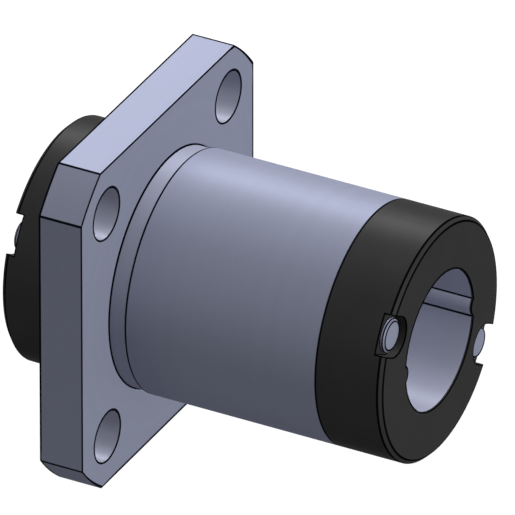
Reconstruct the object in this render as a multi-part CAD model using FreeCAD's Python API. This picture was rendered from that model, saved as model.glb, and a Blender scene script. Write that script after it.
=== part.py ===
import FreeCAD, Part
import math
import os

# A flanged ball spline nut. The origin is the centre of the flange's front face, +X runs along
# the bore towards the front cap, and +Z is up. Lengths are in millimetres, angles in degrees.

# Outer cylinder: hardened steel body and square flange in one piece
body_length = 21.0
body_wall = 1.66
neck_depth = 0.2
neck_length = 1.6
face_relief_depth = 0.1
face_relief_play = 0.05
flange_thickness = 4.4
bolt_circle_d = 33.0
bolt_hole_d = 4.8
bolt_to_side = 4.833
bolt_to_corner = 4.41
edge_break = 0.08

# Bore and the ribs that lie in the shaft's grooves
bore_d = 13.27
rib_height = 0.475

# Balls and the loop that they run round
ball_d = 2.381
ball_spacing_gap = 0.12
row_play = 0.05
turn_play = 0.08
return_depth = 0.6
balls_in_turn = 3
turn_tilt = 20.0
first_circuit_angle = 0.0
circuits = 2

# Ball retainer: thick inside the steel, thinner sleeves inside the caps
retainer_wall = 1.315
sleeve_wall = 0.6
retainer_play = 0.05

# End caps
cap_length = 6.6
cap_chamfer = 0.4
cap_lip = 0.25

# Turn guides
guide_half_thickness = 0.9
guide_play = 0.03
guide_key_width = 1.0
guide_key_height = 0.7
guide_key_length = 0.9

# Cap screws and their pockets
screws_per_cap = 2
screw_d = 1.6
screw_length = 8.0
screw_edge_distance = 1.8
screw_row_angle = -30.0
screw_head_d = 3.2
screw_head_height = 0.5
screw_head_chamfer = 0.22
screw_hole_play = 0.1
thread_play = 0.02
drill_point_room = 0.5
pocket_depth = 0.97
pocket_play = 0.27

# Sizes that follow from those above
bore_r = bore_d / 2
ball_r = ball_d / 2
retainer_r = bore_r + retainer_wall
sleeve_r = bore_r + sleeve_wall
steel_bore_r = retainer_r + retainer_play
load_row_r = bore_r - rib_height + ball_r
return_row_r = steel_bore_r + return_depth
track_r = ball_r + row_play
turn_track_r = ball_r + turn_play
body_r = return_row_r + track_r + body_wall
neck_r = body_r - neck_depth
flange_half_side = bolt_circle_d / math.sqrt(8) + bolt_to_side
flange_corner_r = bolt_circle_d / 2 + bolt_to_corner

steel_front = body_length
steel_back = -flange_thickness
steel_length = steel_front - steel_back
balls_in_row = int(steel_length / (ball_d + ball_spacing_gap))
ball_pitch = steel_length / balls_in_row
turn_r = balls_in_turn * ball_pitch / math.pi
return_angle = math.degrees(
    math.acos((load_row_r**2 + return_row_r**2 - (2 * turn_r) ** 2) / (2 * load_row_r * return_row_r))
)
row_overrun = turn_track_r * math.tan(math.radians(turn_tilt))
screw_circle_r = body_r - screw_edge_distance
screw_grip = screw_length - (cap_length - pocket_depth)
pocket_half_width = screw_head_d / 2 + pocket_play

ALONG = FreeCAD.Vector(1, 0, 0)
MIDDLE = FreeCAD.Vector((steel_front + steel_back) / 2, 0, 0)
BEYOND = 1.0


def polar(x, radius, degrees):
    """A point at a radius and an angle about the bore, counted from +Y towards +Z."""
    angle = math.radians(degrees)
    return FreeCAD.Vector(x, radius * math.cos(angle), radius * math.sin(angle))


def rod(x_from, x_to, radius, centre=FreeCAD.Vector(0, 0, 0)):
    """A cylinder along the bore between two stations."""
    return Part.makeCylinder(radius, x_to - x_from, FreeCAD.Vector(x_from, centre.y, centre.z), ALONG)


def rear(shape):
    """The rear end's copy of something made for the front end."""
    return shape.mirror(MIDDLE, ALONG)


def cut_all(piece, tools):
    for tool in tools:
        piece = piece.cut(tool)
    return piece


def break_rims(solid, size, stations):
    """Chamfer the edges that lie in a plane across the bore at any of the stations."""
    rims = [
        edge for edge in solid.Edges
        if any(max(abs(edge.BoundBox.XMin - x), abs(edge.BoundBox.XMax - x)) < size / 10 for x in stations)
    ]
    return solid.makeChamfer(size, rims)


def circuit_angle(circuit):
    return first_circuit_angle + circuit * 360.0 / circuits


def screw_angles():
    return [circuit_angle(0) + screw_row_angle + k * 360.0 / screws_per_cap for k in range(screws_per_cap)]


def row_channel(row_radius, degrees):
    """The straight tunnel of a ball row, with a half ball of room past each end of the steel."""
    first = polar(steel_back - row_overrun, row_radius, degrees)
    last = polar(steel_front + row_overrun, row_radius, degrees)
    side = polar(0, track_r, degrees)
    tip = ALONG * track_r
    bend = math.sqrt(0.5)
    outline = Part.Wire([
        Part.Arc(first - tip, first + (side - tip) * bend, first + side).toShape(),
        Part.LineSegment(first + side, last + side).toShape(),
        Part.Arc(last + side, last + (side + tip) * bend, last + tip).toShape(),
        Part.LineSegment(last + tip, first - tip).toShape(),
    ])
    return Part.Face(outline).revolve(first, ALONG, 360)


def row_channels(circuit):
    angle = circuit_angle(circuit)
    return [row_channel(load_row_r, angle), row_channel(return_row_r, angle + return_angle)]


def turn_frame(circuit):
    """Centre of a front U-turn, the way across it from load row to return row, and its way ahead."""
    load = polar(steel_front, load_row_r, circuit_angle(circuit))
    back = polar(steel_front, return_row_r, circuit_angle(circuit) + return_angle)
    across = (back - load).normalize()
    outward = across.cross(ALONG).normalize()
    tilt = math.radians(turn_tilt)
    ahead = ALONG * math.cos(tilt) + outward * math.sin(tilt)
    return (load + back) * 0.5, across, ahead


def turn_channel(circuit, degrees=180):
    """The half ring that the balls follow from one row to the other inside the front cap."""
    centre, across, ahead = turn_frame(circuit)
    section = Part.Wire(Part.makeCircle(turn_track_r, centre - across * turn_r, ahead))
    return Part.Face(section).revolve(centre, (-across).cross(ahead), degrees)


def ball_channels():
    """The whole loop of every circuit, as solids to take away from whatever they run through."""
    tools = []
    for circuit in range(circuits):
        turn = turn_channel(circuit)
        tools += row_channels(circuit) + [turn, rear(turn)]
    return tools


def shaft_space():
    """The room for the shaft: the round bore less a rib along each load row."""
    start = steel_back - cap_length - BEYOND
    end = steel_front + cap_length + BEYOND
    ribs = [rod(start, end, ball_r, polar(0, load_row_r, circuit_angle(k))) for k in range(circuits)]
    return cut_all(rod(start, end, bore_r), ribs)


def flange():
    """The square plate with its corners turned to a circle, its holes and a relief round the neck."""
    half = flange_half_side
    plate = Part.makeBox(flange_thickness, 2 * half, 2 * half, FreeCAD.Vector(steel_back, -half, -half))
    plate = plate.common(rod(steel_back, 0, flange_corner_r))
    for corner in range(4):
        hole = polar(0, bolt_circle_d / 2, 45 + 90 * corner)
        plate = plate.cut(rod(steel_back - BEYOND, BEYOND, bolt_hole_d / 2, hole))
    plate = break_rims(plate, edge_break, (steel_back, 0))
    return plate.cut(rod(-face_relief_depth, BEYOND, body_r + face_relief_play))


def outer_cylinder():
    """Steel body on its relieved neck, with raceways, return tunnels and tapped holes."""
    body = break_rims(rod(neck_length, steel_front, body_r), edge_break, (neck_length, steel_front))
    neck = rod(steel_back / 2, steel_front / 2, neck_r)
    steel = flange().fuse(neck).fuse(body)
    steel = steel.cut(rod(steel_back - BEYOND, steel_front + BEYOND, steel_bore_r))
    steel = cut_all(steel, ball_channels())
    for angle in screw_angles():
        bottom = steel_front - screw_grip - drill_point_room
        tapped = rod(bottom, steel_front + BEYOND, screw_d / 2 + thread_play, polar(0, screw_circle_r, angle))
        steel = steel.cut(tapped).cut(rear(tapped))
    return steel.removeSplitter()


def ball_retainer():
    """Lining of the bore: slots that hold the load balls, and a solid rib beyond each slot."""
    lining = rod(steel_back, steel_front, retainer_r)
    sleeve = rod(steel_back - cap_length + cap_lip, steel_front + cap_length - cap_lip, sleeve_r)
    lining = lining.fuse(sleeve).cut(shaft_space())
    return cut_all(lining, ball_channels()).removeSplitter()


def guide_blank(circuit, play=0.0):
    """A disc with a key across its back, the size of a guide or, with play, of its pocket."""
    centre, across, ahead = turn_frame(circuit)
    lift = across.cross(ahead)
    half = guide_half_thickness + play
    reach = turn_r - math.sqrt(turn_track_r**2 - guide_half_thickness**2) + play
    disc = Part.makeCylinder(reach, 2 * half, centre - lift * half, lift)
    length = 2 * (guide_key_length + play)
    width = guide_key_width + 2 * play
    key = Part.makeBox(length, width, half + guide_key_height, FreeCAD.Vector(-length / 2, -width / 2, 0))
    key.Placement = FreeCAD.Placement(centre, FreeCAD.Rotation(ahead, across, lift, "ZXY"))
    return disc.fuse(key)


def turn_guide(circuit):
    """Half-moon saddle between the two rows, whose hollow rim is the inside of the U-turn."""
    side = 8 * turn_r
    past_steel = Part.makeBox(side, side, side, FreeCAD.Vector(steel_front, -side / 2, -side / 2))
    guide = guide_blank(circuit).common(past_steel)
    guide = guide.cut(rod(steel_front - BEYOND, steel_front + cap_length, sleeve_r + guide_play))
    guide = guide.cut(turn_channel(circuit, 360))
    return cut_all(guide, row_channels(circuit)).removeSplitter()


def screw_pocket(angle):
    """Recess for a screw head, round on the inside and open to the rim of the cap."""
    floor = steel_front + cap_length - pocket_depth
    depth = pocket_depth + BEYOND
    seat = rod(floor, floor + depth, pocket_half_width, polar(0, screw_circle_r, 0))
    mouth = Part.makeBox(
        depth, body_r, 2 * pocket_half_width, FreeCAD.Vector(floor, screw_circle_r, -pocket_half_width)
    )
    pocket = seat.fuse(mouth).removeSplitter()
    pocket.rotate(FreeCAD.Vector(0, 0, 0), ALONG, angle)
    return pocket


def end_cap():
    """Black cap that closes the turns, holds the retainer behind a thin lip and takes two screws."""
    face = steel_front + cap_length
    cap = break_rims(rod(steel_front, face, body_r), cap_chamfer, (face,))
    for circuit in range(circuits):
        cap = cut_all(cap, row_channels(circuit) + [turn_channel(circuit)])
        cap = cap.cut(guide_blank(circuit, guide_play))
    cap = cap.cut(rod(steel_front - BEYOND, face - cap_lip, sleeve_r + retainer_play))
    cap = cap.cut(shaft_space())
    for angle in screw_angles():
        hole = rod(steel_front - BEYOND, face, screw_d / 2 + screw_hole_play, polar(0, screw_circle_r, angle))
        cap = cap.cut(hole).cut(screw_pocket(angle))
    return cap.removeSplitter()


def cap_screw(angle):
    """Plain round-headed machine screw: its head sits on the pocket floor."""
    seat = steel_front + cap_length - pocket_depth
    centre = polar(0, screw_circle_r, angle)
    head = rod(seat, seat + screw_head_height, screw_head_d / 2, centre)
    head = break_rims(head, screw_head_chamfer, (seat + screw_head_height,))
    return head.fuse(rod(seat - screw_length, seat, screw_d / 2, centre)).removeSplitter()


def row_balls(row_radius, degrees):
    """The balls of a straight row, each in the middle of its own pitch."""
    stations = [steel_back + (k + 0.5) * ball_pitch for k in range(balls_in_row)]
    return Part.makeCompound([Part.makeSphere(ball_r, polar(x, row_radius, degrees)) for x in stations])


def turn_balls(circuit):
    """The balls inside a U-turn, evenly spaced round it."""
    centre, across, ahead = turn_frame(circuit)
    balls = []
    for k in range(balls_in_turn):
        angle = math.radians((k + 0.5) * 180.0 / balls_in_turn)
        place = centre - across * (turn_r * math.cos(angle)) + ahead * (turn_r * math.sin(angle))
        balls.append(Part.makeSphere(ball_r, place))
    return Part.makeCompound(balls)


def save(name, shape):
    shape.exportStep("parts/" + name + ".step")
    print(name, "solids", len(shape.Solids), "valid", shape.isValid(), "mm3", round(shape.Volume, 2))


def save_pair(name, shape):
    """Save a piece of the front end and its copy at the rear."""
    save("front_" + name, shape)
    save("rear_" + name, rear(shape))


def main():
    os.makedirs("parts", exist_ok=True)
    save("outer_cylinder", outer_cylinder())
    save("ball_retainer", ball_retainer())
    save_pair("end_cap", end_cap())
    for number, angle in enumerate(screw_angles(), 1):
        save_pair("cap_screw_" + str(number), cap_screw(angle))
    for circuit in range(circuits):
        number = str(circuit + 1)
        angle = circuit_angle(circuit)
        save_pair("turn_guide_" + number, turn_guide(circuit))
        save_pair("turn_balls_" + number, turn_balls(circuit))
        save("load_balls_" + number, row_balls(load_row_r, angle))
        save("return_balls_" + number, row_balls(return_row_r, angle + return_angle))


main()
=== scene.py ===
# %% [markdown]
# A flanged ball spline nut, dressed for its portrait. Its solids come from the packed CAD model as
# a fixed frame, in metres: +X runs along the bore towards the front cap and +Z is up. Nothing in
# the frame is moved or reshaped here. What is left to do is what a photographer and a finisher
# would do: stand the part on paper, light it, and give each surface the look of its own process,
# turned and ground steel, moulded resin, polished balls.

# %% Load the frame
import math

import bmesh
import bpy
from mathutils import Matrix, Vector


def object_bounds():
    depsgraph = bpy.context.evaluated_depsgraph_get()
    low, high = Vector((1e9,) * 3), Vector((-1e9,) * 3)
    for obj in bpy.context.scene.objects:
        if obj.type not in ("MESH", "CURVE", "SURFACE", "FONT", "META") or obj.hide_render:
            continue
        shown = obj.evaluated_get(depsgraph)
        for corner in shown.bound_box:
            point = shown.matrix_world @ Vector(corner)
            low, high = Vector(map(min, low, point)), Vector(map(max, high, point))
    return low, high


MM = 0.001
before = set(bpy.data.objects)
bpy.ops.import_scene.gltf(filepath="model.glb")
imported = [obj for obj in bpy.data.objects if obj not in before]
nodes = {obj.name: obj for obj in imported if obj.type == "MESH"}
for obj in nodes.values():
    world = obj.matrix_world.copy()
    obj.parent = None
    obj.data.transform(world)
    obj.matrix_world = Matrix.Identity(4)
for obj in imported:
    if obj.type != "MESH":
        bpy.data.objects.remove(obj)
cad_low, cad_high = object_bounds()
print("nodes:", ", ".join(sorted(nodes)))
print("box in mm:", [round(value / MM, 2) for value in (*cad_low, *cad_high)])

# %% [markdown]
# The picture that this scene follows is a parallel projection: edges that are parallel on the part
# stay parallel in it. An orthographic camera would give that too, but a very long lens from far
# away does nearly the same and keeps its framing when the view is turned. The camera looks down at
# the part from its front left, a little to the side of the bore, and the part fills the picture.

# %% Camera
VIEW_AZIMUTH = math.radians(27.81)
VIEW_ELEVATION = math.radians(31.03)
PICTURE_WIDTH = 46.437 * MM
MIDDLE_TO_THE_RIGHT = 8.024 * MM
MIDDLE_ABOVE = 0.828 * MM
LENS_MM = 1600
SENSOR_MM = 36
CLIP_END_IN_DISTANCES = 3

to_right = Vector((math.cos(VIEW_AZIMUTH), math.sin(VIEW_AZIMUTH), 0))
to_camera = Vector((
    math.sin(VIEW_AZIMUTH) * math.cos(VIEW_ELEVATION),
    -math.cos(VIEW_AZIMUTH) * math.cos(VIEW_ELEVATION),
    math.sin(VIEW_ELEVATION),
))
upwards = to_camera.cross(to_right)
looked_at = to_right * MIDDLE_TO_THE_RIGHT + upwards * MIDDLE_ABOVE
distance = PICTURE_WIDTH * LENS_MM / SENSOR_MM

camera = bpy.data.objects.new("camera", bpy.data.cameras.new("camera"))
camera.data.lens = LENS_MM
camera.data.sensor_width = SENSOR_MM
camera.data.clip_end = CLIP_END_IN_DISTANCES * distance
camera.location = looked_at + to_camera * distance
camera.rotation_euler = (-to_camera).to_track_quat("-Z", "Y").to_euler()

scene = bpy.context.scene
scene.collection.objects.link(camera)
scene.camera = camera
scene.view_settings.view_transform = "Standard"
print("camera", round(distance, 3), "m from the part, lens", LENS_MM, "mm")

# %% [markdown]
# Every finish below is a recipe of shader nodes, and most of them are plain arithmetic on where a
# point lies on the part. Wiring dozens of Math nodes one at a time hides what they say, so a small
# class lets the recipe be written as a formula: an operator on a Field adds the Math node for it.


# %% Formulas in shader nodes
class Field:
    """A number that changes over a surface, as the output of a node."""

    def __init__(self, tree, socket):
        self.tree = tree
        self.socket = socket

    def math(self, operation, *others, clamp=False):
        node = self.tree.nodes.new("ShaderNodeMath")
        node.operation = operation
        node.use_clamp = clamp
        for number, value in enumerate((self, *others)):
            if isinstance(value, Field):
                self.tree.links.new(value.socket, node.inputs[number])
            else:
                node.inputs[number].default_value = value
        return Field(self.tree, node.outputs[0])

    def __add__(self, other):
        return self.math("ADD", other)

    def __sub__(self, other):
        return self.math("SUBTRACT", other)

    def __mul__(self, other):
        return self.math("MULTIPLY", other)

    def size(self):
        return self.math("ABSOLUTE")

    def lesser(self, other):
        return self.math("MINIMUM", other)

    def greater(self, other):
        return self.math("MAXIMUM", other)

    def hypot(self, other):
        return (self * self + other * other).math("SQRT")

    def above(self, level, blur):
        """1 where the field is above a level, 0 where it is below, with a slope as wide as the blur."""
        return (self - level).math("DIVIDE", blur).math("ADD", 0.5, clamp=True)

    def spread(self, low, high):
        """A field from 0 to 1, stretched to run from low to high."""
        return self * (high - low) + low


print("a field knows:", ", ".join(word for word in vars(Field) if not word.startswith("_")))

# %% [markdown]
# The part stands on white paper with white all round it, as in a catalogue, but white surroundings
# would wash out its shading. Light Path solves that, because it tells a shader which ray has met
# it. The camera and the reflections can then get white, and the rays that carry light from surface
# to surface something darker.


# %% One look for the eye and another for the light
def shown_and_lighting(tree, shown, lighting, output):
    """Wire one shader to the rays that show a surface and another to those that light by it."""
    path = tree.nodes.new("ShaderNodeLightPath")
    camera_ray, glossy_ray, transmission_ray = (
        Field(tree, path.outputs[f"Is {kind} Ray"]) for kind in ("Camera", "Glossy", "Transmission")
    )
    mix = tree.nodes.new("ShaderNodeMixShader")
    tree.links.new(camera_ray.greater(glossy_ray).greater(transmission_ray).socket, mix.inputs[0])
    tree.links.new(lighting.outputs[0], mix.inputs[1])
    tree.links.new(shown.outputs[0], mix.inputs[2])
    tree.links.new(mix.outputs[0], output.inputs[0])


print("white for camera, glossy and transmission rays")

# %% [markdown]
# The paper is a plain sheet, far wider than the part and level with its lowest point. It glows in
# a light grey, and paint makes up the rest of its white. Where the part keeps the lamp off, the
# paint goes dark and the glow stays, and that is the soft, pale shadow. To the rays that carry
# light back to the part, the sheet is a dark grey.


# %% Paper
def new_material(name):
    material = bpy.data.materials.new(name)
    material.use_nodes = True
    tree = material.node_tree
    tree.nodes.clear()
    return material, tree, tree.nodes.new("ShaderNodeOutputMaterial")


def grey(level):
    return (level, level, level, 1)


PAPER_HALF_WIDTH = 3.0
PAPER_GLOW = 0.80
PAPER_PAINT = 0.19
PAPER_BOUNCE = 0.21

paper_finish, tree, output = new_material("white_paper")
glow = tree.nodes.new("ShaderNodeEmission")
glow.inputs["Strength"].default_value = PAPER_GLOW
paint = tree.nodes.new("ShaderNodeBsdfDiffuse")
paint.inputs["Color"].default_value = grey(PAPER_PAINT)
glow_and_paint = tree.nodes.new("ShaderNodeAddShader")
tree.links.new(glow.outputs[0], glow_and_paint.inputs[0])
tree.links.new(paint.outputs[0], glow_and_paint.inputs[1])
bounce = tree.nodes.new("ShaderNodeBsdfDiffuse")
bounce.inputs["Color"].default_value = grey(PAPER_BOUNCE)
shown_and_lighting(tree, glow_and_paint, bounce, output)

shape = bmesh.new()
bmesh.ops.create_grid(shape, x_segments=1, y_segments=1, size=PAPER_HALF_WIDTH)
bmesh.ops.translate(shape, verts=shape.verts, vec=(0, 0, cad_low.z))
paper_mesh = bpy.data.meshes.new("paper")
shape.to_mesh(paper_mesh)
shape.free()
paper = bpy.data.objects.new("paper", paper_mesh)
paper.data.materials.append(paper_finish)
scene.collection.objects.link(paper)
print("paper at", round(cad_low.z / MM, 2), "mm")

# %% [markdown]
# The room round the paper works the same way: pure white to look at, and an even, dim light on the
# part. Where no lamp shines, that dim light and what the paper sends back set the tone.

# %% Room
ROOM_WHITE = grey(1.0)
ROOM_LIGHT = 0.292

room = bpy.data.worlds.new("room")
room.use_nodes = True
scene.world = room
tree = room.node_tree
tree.nodes.clear()
backdrop = tree.nodes.new("ShaderNodeBackground")
backdrop.inputs["Color"].default_value = ROOM_WHITE
dim = tree.nodes.new("ShaderNodeBackground")
dim.inputs["Color"].default_value = ROOM_WHITE
dim.inputs["Strength"].default_value = ROOM_LIGHT
shown_and_lighting(tree, backdrop, dim, tree.nodes.new("ShaderNodeOutputWorld"))
print("room light", ROOM_LIGHT)

# %% [markdown]
# Five soft lamps do the rest. Two hang straight above the part and give the tops their tone: one
# drops the soft shadow on the paper, and the other, which is stronger, only fills, so the shadow
# stays pale. A fill from the front lights the faces that look along the bore. A box behind the
# part, opposite the camera, draws the bright band along the top of the body, and the same light
# rakes through the holes and the bore. A wider card in the same direction shows in gloss alone and
# softens that band. The picture shows no shadow of one piece on another, so only the first lamp
# casts any.

# %% Lamps
LAMP_REACH = 0.5
ABOVE = (0.0, 0.0, 1.0)
IN_FRONT = (1.0, 0.0, 0.0)
BEHIND = (-0.40, 0.70, 0.59)


def soft_box(name, towards, half_angle, level, casts_shadow=False, lights_paint=True):
    """A square lamp, aimed at the part from a direction, and as bright as the level to look at."""
    aim = Vector(towards).normalized()
    data = bpy.data.lights.new(name, "AREA")
    data.shape = "SQUARE"
    data.size = 2 * LAMP_REACH * math.tan(math.radians(half_angle))
    data.energy = math.pi * data.size ** 2 * level
    data.use_shadow = casts_shadow
    light = bpy.data.objects.new(name, data)
    light.visible_diffuse = lights_paint
    light.location = (cad_low + cad_high) / 2 + aim * LAMP_REACH
    light.rotation_euler = aim.to_track_quat("Z", "Y").to_euler()
    scene.collection.objects.link(light)
    print(name, "watts", round(data.energy, 2))


soft_box("overhead_box", ABOVE, half_angle=12, level=2.15, casts_shadow=True)
soft_box("overhead_fill", ABOVE, half_angle=12, level=8.55)
soft_box("front_fill", IN_FRONT, half_angle=20, level=5.25)
soft_box("back_box", BEHIND, half_angle=9, level=27)
soft_box("sheen_card", BEHIND, half_angle=17, level=8.0, lights_paint=False)

# %% [markdown]
# On the real part, and in the picture, every edge shows as a thin dark line: the edges are broken
# by a tiny chamfer that holds oil, and joints between pieces hold a shadow. A renderer won't draw
# those lines by itself at this size. Here they are drawn by where a point lies on the part, so
# they stay where they are from every side: on the edges they stand for oil, and in the joints and
# recesses they are painted shade. First comes what the recipes need to know of a place.
# Both ends of the nut carry the same cap, so a distance from the plane midway between them serves
# both. A face looks along the bore where more than half of its unit normal points that way.

# %% Where a point lies
MIRROR_PLANE = 8.3
FACING_LEVEL = 0.5
FACING_BLUR = 0.1


def separated(tree, socket, scale=1.0):
    """The three parts of a vector, as fields."""
    node = tree.nodes.new("ShaderNodeSeparateXYZ")
    tree.links.new(socket, node.inputs[0])
    fields = [Field(tree, output) for output in node.outputs]
    return fields if scale == 1.0 else [field * scale for field in fields]


class Place:
    """Where a point of the surface lies, in millimetres, and which way it faces."""

    def __init__(self, tree):
        self.tree = tree
        coordinates = tree.nodes.new("ShaderNodeTexCoord")
        geometry = tree.nodes.new("ShaderNodeNewGeometry")
        self.object_socket = coordinates.outputs["Object"]
        self.x, self.y, self.z = separated(tree, self.object_socket, 1 / MM)
        self.from_axis = self.y.hypot(self.z)
        self.from_middle = (self.x - MIRROR_PLANE).size()
        along, *_ = separated(tree, geometry.outputs["True Normal"])
        self.faces_along = along.size().above(FACING_LEVEL, FACING_BLUR)

    def from_ring(self, station, radius):
        """How far the point is from a circle about the bore."""
        return (self.x - station).hypot(self.from_axis - radius)

    def from_end_ring(self, station, radius, around=None):
        """The same for a circle and its twin at the other end, about the bore or a screw's axis."""
        return (self.from_middle - (station - MIRROR_PLANE)).hypot((around or self.from_axis) - radius)


print("the two caps mirror each other about x =", MIRROR_PLANE, "mm")

# %% [markdown]
# A line is made of all the points that are near enough to an edge. Its two sides fade a little, so
# that it looks drawn and not cut.

# %% Lines
LINE_BLUR = 0.03


def line(distance, half_width):
    """1 within the half width of something, 0 beyond it."""
    return (distance * -1).above(-half_width, LINE_BLUR)


print("lines fade over", LINE_BLUR, "mm")

# %% [markdown]
# The outer cylinder has the most edges: the outline of the flange on both its faces, the short
# edges between its flat sides and its turned corners, the rims of the four bolt holes, the relief
# where the neck meets the flange, and the two ends of the body. The next cells take them in turn,
# and start with the sizes of the CAD model and two distances that several recipes share.

# %% Sizes of the outer cylinder
FLANGE_HALF_SIDE = 16.5
FLANGE_CORNER_RADIUS = 20.91
FLANGE_CORNER_START = 12.84
FLANGE_THICKNESS = 4.4
EDGE_BREAK = 0.08
HOLE_OFFSET = 11.667
HOLE_RADIUS = 2.4
NECK_LENGTH = 1.6
RELIEF_RADIUS = 11.45
BODY_RADIUS = 11.5
BODY_END = 21.0


def past_flange_faces(place):
    """How far a point is outside the plate's two faces, and negative between them."""
    return (place.x + FLANGE_THICKNESS / 2).size() - FLANGE_THICKNESS / 2


def from_bolt_hole(place):
    """How much further aside and further up or down a point is than the nearest bolt hole."""
    return place.y.size() - HOLE_OFFSET, place.z.size() - HOLE_OFFSET


print("flange", 2 * FLANGE_HALF_SIDE, "mm wide,", 2 * FLANGE_CORNER_RADIUS, "mm across its corners")

# %% [markdown]
# The flange's outline is the larger of two distances, one past the flat sides and one past the
# corner circle. Both are negative inside the plate, which makes "near the outline" and "near the
# face" a matter of two minima. A strip that the picture shows nearly end on looks thinner than it
# is, so some strips are made wider: on the far side, which lies behind the body in the picture, at
# the top corner, and near the back face, most of all at the low corner. In the top corner the sum
# of y and z is large, and in the low corner it is as far below zero.

# %% Edges of the flange
PLATE_LINE = EDGE_BREAK + 0.03
FAR_FROM = 2.0
FAR_BLUR = 8.0
FAR_WIDER = 0.22
BACK_BLUR = 0.5
BACK_WIDER = 0.13
CORNER_FROM = 28.5
CORNER_BLUR = 1.0
TOP_CORNER_WIDER = 0.10
LOW_CORNER_SLOPE = 0.08
SHORT_EDGE_LINE = 0.08
SHORT_EDGE_WIDER = 0.05


def flange_edges(place):
    past_sides = place.y.size().greater(place.z.size()) - FLANGE_HALF_SIDE
    past_corners = place.from_axis - FLANGE_CORNER_RADIUS
    far_side = (place.y - place.z).above(FAR_FROM, FAR_BLUR)
    near_back = (place.x * -1).above(FLANGE_THICKNESS / 2, BACK_BLUR)
    top_corner = (place.y + place.z).above(CORNER_FROM, CORNER_BLUR)
    low_corner = ((place.y + place.z) * -1).above(CORNER_FROM, CORNER_BLUR)
    low_wider = low_corner * (place.z * -1 - FLANGE_CORNER_START) * LOW_CORNER_SLOPE

    face_line = far_side * FAR_WIDER + top_corner * TOP_CORNER_WIDER + PLATE_LINE
    side_line = near_back * (low_wider + BACK_WIDER) + PLATE_LINE
    on_faces = past_sides.greater(past_corners) + face_line
    on_sides = past_flange_faces(place) + side_line
    outline = on_faces.lesser(on_sides).above(0, LINE_BLUR)

    past_both = past_sides.lesser(past_corners) + top_corner * SHORT_EDGE_WIDER
    short_edges = past_both.above(-SHORT_EDGE_LINE, LINE_BLUR)
    return outline.greater(short_edges)


print("lines on the plate reach", round(PLATE_LINE, 2), "mm or more from its edges")

# %% [markdown]
# The rim of a bolt hole is a ring on the flange's face and a narrow band down the hole's wall. Only
# the far part of that wall shows in the picture and adds its band to the line, so the ring is
# narrower there.

# %% Edges of the bolt holes
HOLE_LINE = EDGE_BREAK + 0.13
HOLE_LINE_SLOPE = -0.045
HOLE_LINE_LEAST = EDGE_BREAK + 0.06
HOLE_WALL_LINE = EDGE_BREAK + 0.02


def hole_edges(place):
    aside, height = from_bolt_hole(place)
    past_hole = aside.hypot(height) - HOLE_RADIUS
    towards_far = aside * place.y.math("SIGN") - height * place.z.math("SIGN")
    rim_end = (towards_far * HOLE_LINE_SLOPE + HOLE_LINE).greater(HOLE_LINE_LEAST)
    on_wall = past_flange_faces(place) + HOLE_WALL_LINE
    return (rim_end - past_hole).lesser(on_wall).above(0, LINE_BLUR)


print("bolt holes", 2 * HOLE_RADIUS, "mm wide, with a rim of", round(HOLE_LINE_LEAST, 2), "mm or more")

# %% [markdown]
# The neck meets the flange in a shallow relief, as a grinding wheel needs there. The line lies in
# that relief and climbs a little way up the neck on the side that faces the viewer of the picture.
# The body's two ends are plain rings.

# %% Edges of the neck and the body
NECK_LINE_SUNK = 0.045
NECK_LINE_SLOPE = 0.0085
NECK_LINE_DEPTH = 0.2
BODY_START_LINE = 0.18
BODY_END_LINE = 0.13


def neck_edges(place):
    # The line in the relief is painted shade.
    strip_end = (place.z - place.y) * NECK_LINE_SLOPE - NECK_LINE_SUNK
    strip = (strip_end - place.x).lesser(place.from_axis * -1 + RELIEF_RADIUS)
    return strip.lesser(place.x + NECK_LINE_DEPTH).above(0, LINE_BLUR)


def outer_cylinder_edges(place):
    body_start = line(place.from_ring(NECK_LENGTH + EDGE_BREAK / 2, BODY_RADIUS), BODY_START_LINE)
    # The ring at the body's end lies in the joint with the cap and is painted shade.
    body_end = line(place.from_ring(BODY_END, BODY_RADIUS), BODY_END_LINE)
    on_flange = flange_edges(place).greater(hole_edges(place))
    return on_flange.greater(neck_edges(place)).greater(body_start).greater(body_end)


print("body from", NECK_LENGTH, "to", BODY_END, "mm in front of the flange")

# %% [markdown]
# Inside the bore two ribs stand proud of the round wall, where the balls' raceways are, and each
# meets the wall in two straight edges. The same two edges end at the face of the cap.

# %% Edges of the ball retainer
BORE_RADIUS = 6.635
RIB_EDGE_ASIDE = 6.573
RIB_EDGE_HEIGHT = 0.902
RIB_LINE = 0.13
RIB_LINE_SLOPE = 0.04


def retainer_edges(place):
    from_edge = (place.y.size() - RIB_EDGE_ASIDE).hypot(place.z.size() - RIB_EDGE_HEIGHT)
    return line(from_edge + place.z * RIB_LINE_SLOPE, RIB_LINE)


print("bore", 2 * BORE_RADIUS, "mm, each rib", round(2 * RIB_EDGE_HEIGHT, 2), "mm wide")

# %% [markdown]
# A cap has a chamfered rim, the outline of its bore, and two pockets that are round towards the
# bore and open to the rim. The pockets aren't level, so their recipe first turns y and z to a
# pocket's own direction. Along it a point is some way out, and across it some way aside.

# %% Sizes of the end caps
CAP_FACE = 27.6
CAP_CHAMFER = 0.4
RIB_CENTRE = 7.3505
RIB_RADIUS = 1.1905
SCREW_ANGLE = math.radians(-30)
SCREW_CIRCLE = 9.70
POCKET_HALF_WIDTH = 1.87
POCKET_DEPTH = 0.97
POCKET_FLOOR = CAP_FACE - POCKET_DEPTH


def turned_to_screws(place):
    """How far a point is out towards the nearer screw and aside from the line through both."""
    out = place.y * math.cos(SCREW_ANGLE) + place.z * math.sin(SCREW_ANGLE)
    aside = place.z * math.cos(SCREW_ANGLE) - place.y * math.sin(SCREW_ANGLE)
    return out.size() - SCREW_CIRCLE, aside.size()


print("caps end at", CAP_FACE, "and", round(2 * MIRROR_PLANE - CAP_FACE, 2), "mm along the bore")

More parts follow.
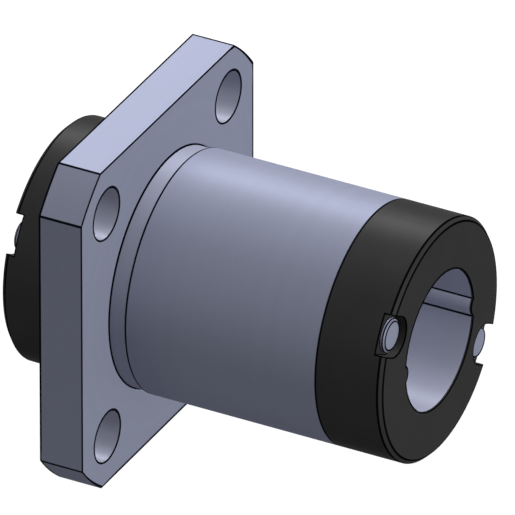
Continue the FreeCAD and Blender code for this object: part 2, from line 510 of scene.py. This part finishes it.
# %% [markdown]
# A pocket's outline is one formula: a distance out that is held at the pocket's centre, together
# with the distance aside, draws the round end and both straight walls. The pocket's wall runs on
# below the cap's skin, where no line belongs, so the line along its rim stays near the cap's face,
# its chamfer or its round skin as well.

# %% Edges of the end caps
POCKET_RIM_LINE = 0.12
POCKET_CORNER_LINE = 0.07
BORE_LINE = 0.14
BORE_LINE_SLOPE = -0.012
BORE_LINE_DEPTH = 0.12
CAP_RIM_LINE = 0.115
CAP_JOINT_LINE = 0.07


def pocket_edges(place, end):
    past_face, past_skin = end - CAP_FACE, place.from_axis - BODY_RADIUS
    past_chamfer = (past_face + past_skin + CAP_CHAMFER) * math.sqrt(0.5)
    from_skin = past_face.size().lesser(past_skin.size()).lesser(past_chamfer.size())
    out, aside = turned_to_screws(place)
    past_wall = out.lesser(0).hypot(aside) - POCKET_HALF_WIDTH
    past_pocket = past_wall.greater(end * -1 + POCKET_FLOOR)
    rim = line(past_pocket.size().greater(from_skin), POCKET_RIM_LINE)
    # The line where a pocket's wall meets its floor is painted shade.
    corner = line(past_wall.size().greater((end - POCKET_FLOOR).size()), POCKET_CORNER_LINE)
    return rim.greater(corner)


def cap_bore_edges(place, end):
    past_rib = (place.y.size() - RIB_CENTRE).hypot(place.z) * -1 + RIB_RADIUS
    past_bore = (place.from_axis - BORE_RADIUS).greater(past_rib)
    strip_end = (place.y - place.z) * BORE_LINE_SLOPE + BORE_LINE
    return (strip_end - past_bore).lesser(end - (CAP_FACE - BORE_LINE_DEPTH)).above(0, LINE_BLUR)


def cap_edges(place):
    end = place.from_middle + MIRROR_PLANE
    face_rim = line(place.from_end_ring(CAP_FACE, BODY_RADIUS - CAP_CHAMFER), CAP_RIM_LINE)
    outer_rim = line(place.from_end_ring(CAP_FACE - CAP_CHAMFER, BODY_RADIUS), CAP_RIM_LINE)
    # The ring in the joint between cap and body is painted shade.
    joint = line(place.from_end_ring(BODY_END, BODY_RADIUS), CAP_JOINT_LINE)
    rims = face_rim.greater(outer_rim).greater(joint)
    return rims.greater(cap_bore_edges(place, end)).greater(pocket_edges(place, end))


print("lines on the caps reach", CAP_JOINT_LINE, "mm at the joint and", CAP_RIM_LINE, "mm at the rims")

# %% [markdown]
# A screw head is a disc with a chamfer. Counted from its own axis, its edges are rings: one on the
# top just inside the chamfer, one at each end of the chamfer, and the foot, where the head stands
# in its pocket. The ring on the top is wider on the far side, where its chamfer doesn't show.

# %% Edges of the cap screws
HEAD_RADIUS = 1.6
HEAD_HEIGHT = 0.5
HEAD_TOP = POCKET_FLOOR + HEAD_HEIGHT
HEAD_CHAMFER = 0.22
SCREW_TOWARDS_FAR = SCREW_CIRCLE * (math.cos(SCREW_ANGLE) - math.sin(SCREW_ANGLE))
TOP_RING_LINE = 0.12
TOP_RING_SLOPE = 0.08
TOP_RING_DEPTH = 0.06
CHAMFER_LINE = 0.08
FOOT_LINE = 0.09


def from_screw_axis(place):
    out, aside = turned_to_screws(place)
    return out.hypot(aside)


def screw_edges(place):
    around = from_screw_axis(place)
    towards_far = place.y - place.z - place.y.math("SIGN") * SCREW_TOWARDS_FAR
    past_top = around - (HEAD_RADIUS - HEAD_CHAMFER) + towards_far * TOP_RING_SLOPE
    on_top = line((place.from_middle + (MIRROR_PLANE - HEAD_TOP)).size(), TOP_RING_DEPTH)
    top_ring = past_top.above(-TOP_RING_LINE, LINE_BLUR).lesser(on_top)
    inner_rim = line(place.from_end_ring(HEAD_TOP, HEAD_RADIUS - HEAD_CHAMFER, around), CHAMFER_LINE)
    outer_rim = line(place.from_end_ring(HEAD_TOP - HEAD_CHAMFER, HEAD_RADIUS, around), CHAMFER_LINE)
    # The foot ring, where the head stands in its pocket, is painted shade.
    foot = line(place.from_end_ring(POCKET_FLOOR, HEAD_RADIUS, around), FOOT_LINE)
    return top_ring.greater(inner_rim).greater(outer_rim).greater(foot)


print("screw heads", 2 * HEAD_RADIUS, "mm across and", HEAD_HEIGHT, "mm high")

# %% [markdown]
# The finishes share a few tools. Noise along one coordinate gives lines and noise in space gives
# clouds, and a bump turns either into a surface that is very slightly uneven. The Mix node keeps
# its sockets for numbers, vectors and colours side by side under the same names, so its colour
# sockets are taken by their numbers.

# %% Noise, mixing and bump
PLAIN_DETAIL = 2.0
RICH_DETAIL = 3.0
MIX_COLOUR_INPUTS = (6, 7)
MIX_COLOUR_OUTPUT = 2


def noise_lines(place, path, per_mm, detail=PLAIN_DETAIL):
    """Noise that changes only along the tool's path."""
    node = place.tree.nodes.new("ShaderNodeTexNoise")
    node.noise_dimensions = "1D"
    place.tree.links.new(path.socket, node.inputs["W"])
    node.inputs["Scale"].default_value = per_mm
    node.inputs["Detail"].default_value = detail
    return Field(place.tree, node.outputs["Fac"])


def noise_cloud(place, per_mm, detail=PLAIN_DETAIL):
    """Noise that changes in every direction."""
    node = place.tree.nodes.new("ShaderNodeTexNoise")
    place.tree.links.new(place.object_socket, node.inputs["Vector"])
    node.inputs["Scale"].default_value = per_mm / MM
    node.inputs["Detail"].default_value = detail
    return Field(place.tree, node.outputs["Fac"])


def mixed_colour(tree, share, first, second):
    """From one colour to another, either of them a node's output or a fixed colour."""
    node = tree.nodes.new("ShaderNodeMix")
    node.data_type = "RGBA"
    tree.links.new(share.socket, node.inputs["Factor"])
    for number, value in zip(MIX_COLOUR_INPUTS, (first, second)):
        if isinstance(value, bpy.types.NodeSocket):
            tree.links.new(value, node.inputs[number])
        else:
            node.inputs[number].default_value = (*value, 1)
    return node.outputs[MIX_COLOUR_OUTPUT]


def bumped(tree, height, depth_mm, shader):
    node = tree.nodes.new("ShaderNodeBump")
    node.inputs["Distance"].default_value = depth_mm * MM
    tree.links.new(height.socket, node.inputs["Height"])
    tree.links.new(node.outputs[0], shader.inputs["Normal"])


print("noise has detail", PLAIN_DETAIL, "or, where it is fine,", RICH_DETAIL)

# %% [markdown]
# The Principled shader has two kinds of shine. The one of plastic and glass grows to white on every
# face that is seen at a slant. The picture shows nothing of the kind, so finishes with an edge tint
# have it switched off. What Metallic brings is tinted by the surface's own colour, and the edge
# tint dims it at a slant. A small share of it gives both the steel and the resin their soft sheen.


# %% The shader of every finish
def principled(tree, output, colour, roughness, metallic, edge_tint=None):
    shader = tree.nodes.new("ShaderNodeBsdfPrincipled")
    tree.links.new(colour, shader.inputs["Base Color"])
    tree.links.new(roughness.socket, shader.inputs["Roughness"])
    shader.inputs["Metallic"].default_value = metallic
    if edge_tint:
        shader.inputs["Specular IOR Level"].default_value = 0.0
        shader.inputs["Specular Tint"].default_value = edge_tint
    tree.links.new(shader.outputs[0], output.inputs[0])
    return shader


print("a finish sets Base Color, Roughness and Metallic, and with an edge tint the Specular inputs too")

# %% [markdown]
# All the steel is turned or ground, and a tool leaves fine lines along its own path: round the
# body, in circles on the faces, round the inside of a hole. One coordinate describes them all.
# It counts along the bore, and on faces that look along the bore it also counts outwards from the
# axis. Noise in one dimension on that coordinate gives lines that never cross. Coarse lines go
# mostly to the tone, and fine ones to the tone, the bump and the gloss. Edges are dark with oil
# and dull, and where an edge is a joint or lies in a recess, its dark line is painted shade.

# %% Turned and ground steel
EDGE_OIL_AND_SHADE = (0.0035, 0.004, 0.008)
EDGE_OIL_ROUGHNESS = 0.8
STEEL_EDGE_TINT = grey(0.3)
COARSE_PER_MM = 0.9
FINE_PER_MM = 6.0
CLOUD_PER_MM = 0.12
COARSE_TONE = 0.35
FINE_TONE = 0.30
CLOUD_TONE = 0.35
FINE_BUMP = 0.8
COARSE_BUMP = 0.2
STEEL_BUMP_MM = 0.002


def turned_steel(name, light, dark, metallic, gloss, edges, outwards_of=None, paler=None):
    """Steel with lines along the tool's path, dark edges that are partly painted shade, and perhaps a
    paler part that is painted light.
    """
    material, tree, output = new_material(name)
    place = Place(tree)
    outwards = outwards_of(place) if outwards_of else place.from_axis
    path = place.x + outwards * place.faces_along
    coarse = noise_lines(place, path, COARSE_PER_MM)
    fine = noise_lines(place, path, FINE_PER_MM, RICH_DETAIL)
    cloud = noise_cloud(place, CLOUD_PER_MM)
    tone = coarse * COARSE_TONE + fine * FINE_TONE + cloud * CLOUD_TONE
    surface = mixed_colour(tree, tone, dark, light)
    # A paler part here is painted light.
    if paler:
        share, colour = paler(place)
        surface = mixed_colour(tree, share, surface, colour)

    marks = edges(place)
    # The edge marks are dark oil on edges and painted shade in joints and recesses.
    colour = mixed_colour(tree, marks, surface, EDGE_OIL_AND_SHADE)
    roughness = fine.spread(*gloss).greater(marks * EDGE_OIL_ROUGHNESS)
    shader = principled(tree, output, colour, roughness, metallic, STEEL_EDGE_TINT)
    bumped(tree, fine * FINE_BUMP + coarse * COARSE_BUMP, STEEL_BUMP_MM, shader)
    return material


print("tool lines,", COARSE_PER_MM, "and", FINE_PER_MM, "to the millimetre")

# %% [markdown]
# The bolt holes and the neck are painted paler than the rest of the cylinder. This is painted light,
# which brightens the walls of the holes and the neck where they lie in shade. The holes run through
# the whole plate, and so a distance from their own axis is enough to find them. The neck is a short
# drum with two ends.

# %% Painted light in the bolt holes and on the neck
PAINTED_LIGHT_STEEL = (0.370, 0.378, 0.440)
HOLE_LIGHT_SHARE = 0.45
NECK_LIGHT_SHARE = 0.5
HOLE_WALL_SLACK = 0.02
PAINTED_LIGHT_BLUR = 0.01


def painted_light_in_holes_and_neck(place):
    """The share of painted light, which is more in the bolt holes and less on the neck, and its paler
    colour.
    """
    aside, height = from_bolt_hole(place)
    past_hole = aside.hypot(height) - HOLE_RADIUS
    past_ends = (place.x - NECK_LENGTH / 2).size() - NECK_LENGTH / 2
    past_neck = past_ends.greater(place.from_axis - RELIEF_RADIUS)
    in_hole = (past_hole * -1).above(-HOLE_WALL_SLACK, PAINTED_LIGHT_BLUR)
    on_neck = (past_neck * -1).above(0, PAINTED_LIGHT_BLUR)
    return in_hole.greater(on_neck * NECK_LIGHT_SHARE) * HOLE_LIGHT_SHARE, PAINTED_LIGHT_STEEL


# Painted light lies in the four holes and on the neck.
print("unground: four holes and", NECK_LENGTH, "mm of neck")

# %% [markdown]
# The cylinder, the retainer and the screws get three settings of that one recipe. Cylinder and
# screws share their colour, and the retainer, which lines the bore, is a little paler, as painted
# light that brightens the shaded bore. Gloss is given as the least and the greatest roughness. On a
# screw the tool went round the screw's own axis.

# %% Steel finishes
STEEL_LIGHT = (0.228, 0.244, 0.325)
STEEL_DARK = (0.199, 0.212, 0.283)
# Paler than the cylinder's steel: painted light for the retainer in the shaded bore.
BORE_LIGHT = (0.290, 0.304, 0.386)
BORE_DARK = (0.259, 0.271, 0.344)

finishes = {
    "ground_steel": turned_steel(
        "ground_steel", STEEL_LIGHT, STEEL_DARK,
        metallic=0.07, gloss=(0.34, 0.47), edges=outer_cylinder_edges, paler=painted_light_in_holes_and_neck,
    ),
    "retainer_steel": turned_steel(
        "retainer_steel", BORE_LIGHT, BORE_DARK,
        metallic=0.045, gloss=(0.32, 0.44), edges=retainer_edges,
    ),
    "screw_steel": turned_steel(
        "screw_steel", STEEL_LIGHT, STEEL_DARK,
        metallic=0.12, gloss=(0.30, 0.42), edges=screw_edges, outwards_of=from_screw_axis,
    ),
}
print("steel finishes:", ", ".join(finishes))

# %% [markdown]
# The caps are moulded in black resin, and the turn guides in the same kind left natural. A mould
# is spark-eroded, which leaves the resin with an even, very fine grain and little shine, and the
# flow of the melt leaves slightly paler clouds in it. The caps' edges are black, as in the picture,
# and at the joint with the body and in the pockets' corners that black is painted shade.

# %% Moulded resin
CAP_BLACK = (0.0255, 0.0255, 0.0255)
CAP_BLACK_PALER = (0.035, 0.035, 0.035)
GUIDE_NATURAL = (0.50, 0.48, 0.42)
GUIDE_NATURAL_PALER = (0.62, 0.60, 0.54)
EDGE_BLACK_AND_SHADE = (0.002, 0.002, 0.002)
RESIN_EDGE_TINT = grey(0.40)
RESIN_METALLIC = 0.155
RESIN_GLOSS = (0.29, 0.38)
RESIN_BUMP_MM = 0.0015
GRAIN_PER_MM = 6.0
FLOW_PER_MM = 0.35
GRAIN_TONE = 0.4
FLOW_TONE = 0.6


def moulded_resin(name, dark, light, edges=None):
    """Resin with a fine grain and slow clouds, and perhaps with dark edges."""
    material, tree, output = new_material(name)
    place = Place(tree)
    grain = noise_cloud(place, GRAIN_PER_MM, RICH_DETAIL)
    flow = noise_cloud(place, FLOW_PER_MM)
    colour = mixed_colour(tree, grain * GRAIN_TONE + flow * FLOW_TONE, dark, light)
    if edges:
        # The cap's edge marks are black, and in the joint and the pockets' corners they are painted
        # shade.
        colour = mixed_colour(tree, edges(place), colour, EDGE_BLACK_AND_SHADE)

    roughness = grain.spread(*RESIN_GLOSS)
    shader = principled(tree, output, colour, roughness, RESIN_METALLIC, RESIN_EDGE_TINT)
    bumped(tree, grain, RESIN_BUMP_MM, shader)
    return material


finishes["cap_resin"] = moulded_resin("cap_resin", CAP_BLACK, CAP_BLACK_PALER, cap_edges)
finishes["guide_resin"] = moulded_resin("guide_resin", GUIDE_NATURAL, GUIDE_NATURAL_PALER)
print("resin at a roughness from", RESIN_GLOSS[0], "to", RESIN_GLOSS[1])

# %% [markdown]
# The balls are the one bright thing in the nut: chrome steel, lapped to a mirror. They are all
# metal, with no edges and no bump. A film of oil dulls the mirror in places.

# %% Lapped balls
BALL_BARE = (0.60, 0.61, 0.64)
BALL_FILMED = (0.74, 0.75, 0.77)
BALL_GLOSS = (0.05, 0.16)
BALL_METALLIC = 1.0
FILM_PER_MM = 1.5

material, tree, output = new_material("ball_steel")
film = noise_cloud(Place(tree), FILM_PER_MM)
colour = mixed_colour(tree, film, BALL_BARE, BALL_FILMED)
principled(tree, output, colour, film.spread(*BALL_GLOSS), BALL_METALLIC)
finishes["ball_steel"] = material
print("balls at a roughness from", BALL_GLOSS[0], "to", BALL_GLOSS[1])

# %% [markdown] Each CAD node is made of one material, so its name is enough to tell its finish.

# %% Dress every node in its finish
SLOT_OF_PIECE = {
    "outer_cylinder": "ground_steel",
    "ball_retainer": "retainer_steel",
    "end_cap": "cap_resin",
    "turn_guide": "guide_resin",
    "cap_screw": "screw_steel",
    "balls": "ball_steel",
}

for name, node in sorted(nodes.items()):
    slot = next(slot for piece, slot in SLOT_OF_PIECE.items() if piece in name)
    node.data.materials.clear()
    node.data.materials.append(finishes[slot])
    print(name, "in", slot)

# %% [markdown] Nothing was added to the part.
